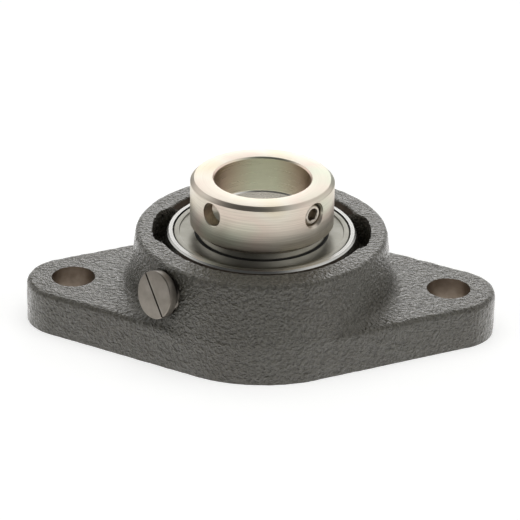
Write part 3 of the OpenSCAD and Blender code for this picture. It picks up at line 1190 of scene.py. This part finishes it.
@dataclass
class LockingCollar:
    """The eccentric locking collar, with its recess, screw hole and drift hole."""

    bore_r: float = 12.55
    outer_r: float = 18.73
    bottom: float = 29.4
    top: float = 42.1
    chamfer: float = 1.0
    edge: float = 0.4
    recess_r: float = 16.03
    recess_top: float = 32.9
    offset: float = 0.8
    offset_azimuth: float = 48.0
    screw_r: float = 3.04
    screw_sink: float = 0.8
    screw_sink_r: float = 1.0
    thread_depth: float = 0.4
    drift_r: float = 3.0
    drift_depth: float = 3.4
    drift_bevel: float = 0.25

    def build(self) -> Shape:
        """Turn the collar, bore its recess and drill its holes.

        Returns:
            The finished collar.
        """
        collar = turn("locking_collar_ring", [
            Corner(self.bore_r, self.bottom), Corner(self.outer_r - self.edge, self.bottom),
            Corner(self.outer_r, self.bottom + self.edge, 0.1),
            Corner(self.outer_r, self.top - self.chamfer, 0.08),
            Corner(self.outer_r - self.chamfer, self.top, 0.08),
            Corner(self.bore_r + self.edge, self.top, 0.06),
            Corner(self.bore_r, self.top - self.edge)], 256)
        collar.data.materials.append(PassivatedSteel().material())
        for tool in (self.recess_tool(), self.screw_tool(), self.drift_tool()):
            cut(collar, tool, PassivatedSteel())
        smooth(collar)
        return collar

    def recess_tool(self) -> Shape:
        """Make the cutter for the eccentric recess.

        Returns:
            The cutter.
        """
        cutter = rod("cutter", self.recess_r, self.bottom - OVERRUN, self.recess_top, 256)
        along = Matrix.Rotation(math.radians(self.offset_azimuth), 4, "Z")
        return place(cutter, along @ Matrix.Translation((self.offset * MM, 0, 0)))

    def screw_tool(self) -> Shape:
        """Make the tap and countersink for the set screw.

        Returns:
            The tap.
        """
        start = self.bore_r - 2 * OVERRUN
        sink = self.outer_r - self.screw_sink
        top = self.outer_r + self.screw_sink
        wall = [Corner(self.screw_r, s) for s in stations(start, sink, TAP_RING)]
        tap = turn("tap", [Corner(0, start), *wall, Corner(self.screw_r, sink),
                           Corner(self.screw_r + self.screw_sink_r, top), Corner(0, top)], 96)
        run_thread(tap, SCREW_PITCH, -self.thread_depth, start, sink - 0.1)
        return place(tap, SCREW_HOLE.matrix)

    def drift_tool(self) -> Shape:
        """Make the drill for the drift hole.

        Returns:
            The drill.
        """
        floor = self.outer_r - self.drift_depth
        point = self.drift_r / math.tan(math.radians(DRILL_POINT / 2))
        wide = self.drift_r + 2 * self.drift_bevel
        top = self.outer_r + 2 * OVERRUN
        drill = turn("drill", [
            Corner(0, floor - point), Corner(self.drift_r, floor),
            Corner(self.drift_r, self.outer_r - self.drift_bevel),
            Corner(wide, self.outer_r + self.drift_bevel), Corner(wide, top), Corner(0, top)], 96)
        return place(drill, DRIFT_HOLE.matrix)

    def dress(self, shape: Shape) -> None:
        """Give the collar to its body."""
        hand_over(shape, "collar", "collar_steel", "locking_collar")


@dataclass
class SetScrew:
    """The socket set screw in the collar, turned on its hole's axis."""

    tip: float = 12.7
    end: float = 17.93
    radius: float = 3.0
    socket: float = 3.0
    socket_depth: float = 3.0
    socket_bevel: float = 0.3
    socket_sink: float = 0.25
    thread_depth: float = 0.5
    chamfer: float = 0.7
    point: float = 1.0
    cup: float = 0.5

    def build(self) -> Shape:
        """Turn the screw, thread it and broach its socket.

        Returns:
            The finished screw.
        """
        first = self.tip + self.point
        last = self.end - self.chamfer
        sink = self.end - self.socket_sink
        shank = [Corner(self.radius, s) for s in stations(first, last, SCREW_RING)]
        screw = turn("set_screw", [
            Corner(0, self.tip + self.cup), Corner(self.radius / 3, self.tip),
            Corner(self.radius - self.point, self.tip), *shank, Corner(self.radius, last),
            Corner(self.radius - self.chamfer, self.end, 0.1),
            Corner(self.socket / 2 + self.socket_bevel, self.end), Corner(self.socket / 2, sink),
            Corner(0, sink)], 96)
        run_thread(screw, SCREW_PITCH, self.thread_depth, first, last)
        screw.data.materials.append(ScrewSteel().material())
        choose()
        bpy.ops.mesh.primitive_cylinder_add(
            vertices=6, radius=self.socket / 2 / math.cos(math.pi / 6) * MM,
            depth=2 * self.socket_depth * MM)
        cut(screw, place(bpy.context.object, Matrix.Translation((0, 0, self.end * MM))), ScrewSteel())
        smooth(place(screw, SCREW_HOLE.matrix))
        return screw

    def dress(self, shape: Shape) -> None:
        """Give the screw to its body."""
        hand_over(shape, "set_screw", "screw_steel", "collar_set_screw")


@dataclass
class InsertSolids:
    """The insert's other pieces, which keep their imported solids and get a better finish."""

    ball_count: int = 9

    def dress(self) -> None:
        """Put each finish on its solid."""
        coats = [coat.value for coat in Coat]
        coats += [(f"ball_{i}", LappedSteel()) for i in range(1, self.ball_count + 1)]
        for node, finish in coats:
            shape = frame["nodes"][node]
            for slot in shape.material_slots:
                slot.material = finish.material()
            log.info("%s keeps its solid as %s", node, finish.name)


# Studio


@dataclass(frozen=True)
class SoftBox:
    """A soft rectangular lamp that faces the part, and may show in its polished faces."""

    name: str
    azimuth: float
    elevation: float
    distance: float
    width: float
    height: float
    watts: float
    mirrored: bool = False

    def hang(self, target: Vector) -> None:
        """Hang this lamp so that it faces the target.

        Args:
            target: what it faces, in metres.
        """
        lamp = bpy.data.lights.new(self.name, "AREA")
        lamp.shape = "RECTANGLE"
        lamp.size = self.width * MM
        lamp.size_y = self.height * MM
        lamp.energy = self.watts
        holder = bpy.data.objects.new(self.name, lamp)
        holder.visible_glossy = self.mirrored
        bpy.context.collection.objects.link(holder)
        back = away(self.azimuth, self.elevation)
        holder.location = target + back * self.distance * MM
        holder.rotation_euler = back.to_track_quat("Z", "Y").to_euler()


def away(azimuth: float, elevation: float) -> Vector:
    """Unit vector from the part to something at an azimuth from the front and a height angle."""
    a, e = math.radians(azimuth), math.radians(elevation)
    return Vector((math.sin(a) * math.cos(e), -math.cos(a) * math.cos(e), math.sin(e)))


@dataclass
class Studio:
    """A white floor, soft lamps and a camera at the picture's angle."""

    azimuth: float = 1.64
    elevation: float = 26.94
    roll: float = 1.07
    distance: float = 700.0
    lens: float = 184.2
    target: tuple[float, float, float] = (0.0, 0.0, 15.0)
    aim_right: float = -0.226
    aim_up: float = 2.815
    sensor: float = 36.0
    floor_size: float = 4000.0
    floor_shown: float = 0.62
    floor_near: float = 60.0
    floor_far: float = 360.0
    floor_dim: float = 0.2
    dim_azimuth: float = -25.0
    dim_height: float = 52.0
    plain_light: float = 0.3
    lamps: tuple[SoftBox, ...] = (
        SoftBox("top_lamp", azimuth=0, elevation=88, distance=900, width=900, height=900, watts=4.0),
        SoftBox("left_lamp", azimuth=-70, elevation=35, distance=1000, width=600, height=600, watts=1.6),
        SoftBox("right_lamp", azimuth=75, elevation=35, distance=1000, width=600, height=600, watts=1.6),
        SoftBox("back_lamp", azimuth=180, elevation=12, distance=1000, width=560, height=400, watts=1.25,
                mirrored=True))

    def build(self) -> None:
        """Set up floor, world, lamps and camera."""
        bpy.context.scene.view_settings.view_transform = "Standard"
        self.lay_floor()
        self.light_world()
        for lamp in self.lamps:
            lamp.hang(Vector(self.target) * MM)
        self.stand_camera()

    def lay_floor(self) -> None:
        """A pale matt floor that looks white to the eye and in polished metal."""
        choose()
        bpy.ops.mesh.primitive_grid_add(x_subdivisions=4, y_subdivisions=4, size=self.floor_size * MM)
        floor = bpy.context.object
        floor.name = "studio_floor"
        paint = bpy.data.materials.new("matt_white_floor")
        paint.use_nodes = True
        tree = paint.node_tree
        camera = add_node(tree, "LightPath")["Is Camera Ray"]
        where = add_node(tree, "TexCoord")["Object"]
        reach = add_node(tree, "VectorMath", {0: where}, operation="LENGTH")["Value"]
        fade = add_node(tree, "MapRange", {
            "Value": reach, "From Min": self.floor_near * MM, "From Max": self.floor_far * MM,
            "To Min": 1.0, "To Max": self.floor_dim})[0]
        shown = add_node(tree, "Math", {0: camera, 1: self.floor_shown}, operation="MULTIPLY")[0]
        cast = add_node(tree, "Math", {0: self.mirrored(tree), 1: fade}, operation="MULTIPLY")[0]
        lift = add_node(tree, "Math", {0: shown, 1: cast}, operation="MAXIMUM")[0]
        feed(tree, tree.nodes["Principled BSDF"], {
            "Base Color": linear("#c6c6c4"), "Roughness": 0.9, "Emission Color": linear("#ffffff"),
            "Emission Strength": lift})
        floor.data.materials.append(paint)
        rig.stage(floor)

    def mirrored(self, tree: Tree) -> Socket:
        """A value of 1 for a ray that comes from a glossy or clear surface, and 0 for any other."""
        path = add_node(tree, "LightPath")
        return add_node(tree, "Math", {
            0: path["Is Glossy Ray"], 1: path["Is Transmission Ray"]}, operation="MAXIMUM")[0]

    def light_world(self) -> None:
        """A white room, dim overhead and at the horizon, and a plain grey light on everything."""
        world = bpy.data.worlds.new("studio_world")
        bpy.context.scene.world = world
        world.use_nodes = True
        tree = world.node_tree
        way = add_node(tree, "TexCoord")["Generated"]
        near = add_node(tree, "VectorMath", {
            0: way, 1: away(self.dim_azimuth, self.dim_height)}, operation="DOT_PRODUCT")["Value"]
        above = add_node(tree, "ValToRGB", {0: near}, stops=[
            (0.5, "#ffffff"), (0.86, "#585858")])[0]
        height = add_node(tree, "SeparateXYZ", {0: way})[2]
        below = add_node(tree, "ValToRGB", {0: height}, stops=[
            (0.1, "#707070"), (0.25, "#ffffff")])[0]
        room = add_node(tree, "Mix", {0: 1.0, 6: above, 7: below},
                        data_type="RGBA", blend_type="MULTIPLY")[2]
        camera = add_node(tree, "LightPath")["Is Camera Ray"]
        shown = add_node(tree, "Mix", {0: camera, 6: room, 7: linear("#ffffff")}, data_type="RGBA")[2]
        bright = add_node(tree, "Math", {0: camera, 1: self.mirrored(tree)}, operation="MAXIMUM")[0]
        level = add_node(tree, "MapRange", {"Value": bright, "To Min": self.plain_light, "To Max": 1.0})[0]
        feed(tree, tree.nodes["Background"], {"Color": shown, "Strength": level})

    def stand_camera(self) -> None:
        """Stand the camera where the picture was taken from."""
        middle = Vector(self.target) * MM
        back = away(self.azimuth, self.elevation)
        a, roll = math.radians(self.azimuth), math.radians(self.roll)
        level = Vector((math.cos(a), math.sin(a), 0.0))
        upright = back.cross(level)
        right = level * math.cos(roll) + upright * math.sin(roll)
        up = upright * math.cos(roll) - level * math.sin(roll)
        spot = middle + back * self.distance * MM
        aim = middle + (right * self.aim_right + up * self.aim_up) * MM
        view = (spot - aim).normalized()
        right = (right - view * right.dot(view)).normalized()
        up = view.cross(right)
        data = bpy.data.cameras.new("camera")
        data.lens = self.lens
        data.sensor_width = self.sensor
        data.clip_start = 0.01
        data.clip_end = 20.0
        camera = bpy.data.objects.new("camera", data)
        bpy.context.collection.objects.link(camera)
        camera.matrix_world = Matrix.Translation(spot) @ Matrix((right, up, view)).transposed().to_4x4()
        bpy.context.scene.camera = camera


def main() -> None:
    """Build the part's pieces in order, then the studio round them."""
    logging.basicConfig(level=logging.INFO, format="%(message)s")
    for assembly in (Housing(), GreasePlug(), SealWashers(), LockingCollar(), SetScrew()):
        assembly.dress(assembly.build())
    InsertSolids().dress()
    Studio().build()
    boxes = {"cad": cad_box, "visual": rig.bounds()}
    with open(SIZE_FILE, "w", encoding="utf-8") as out:
        json.dump({name: [list(corner) for corner in box] for name, box in boxes.items()}, out)


if __name__ == "__main__":
    main()
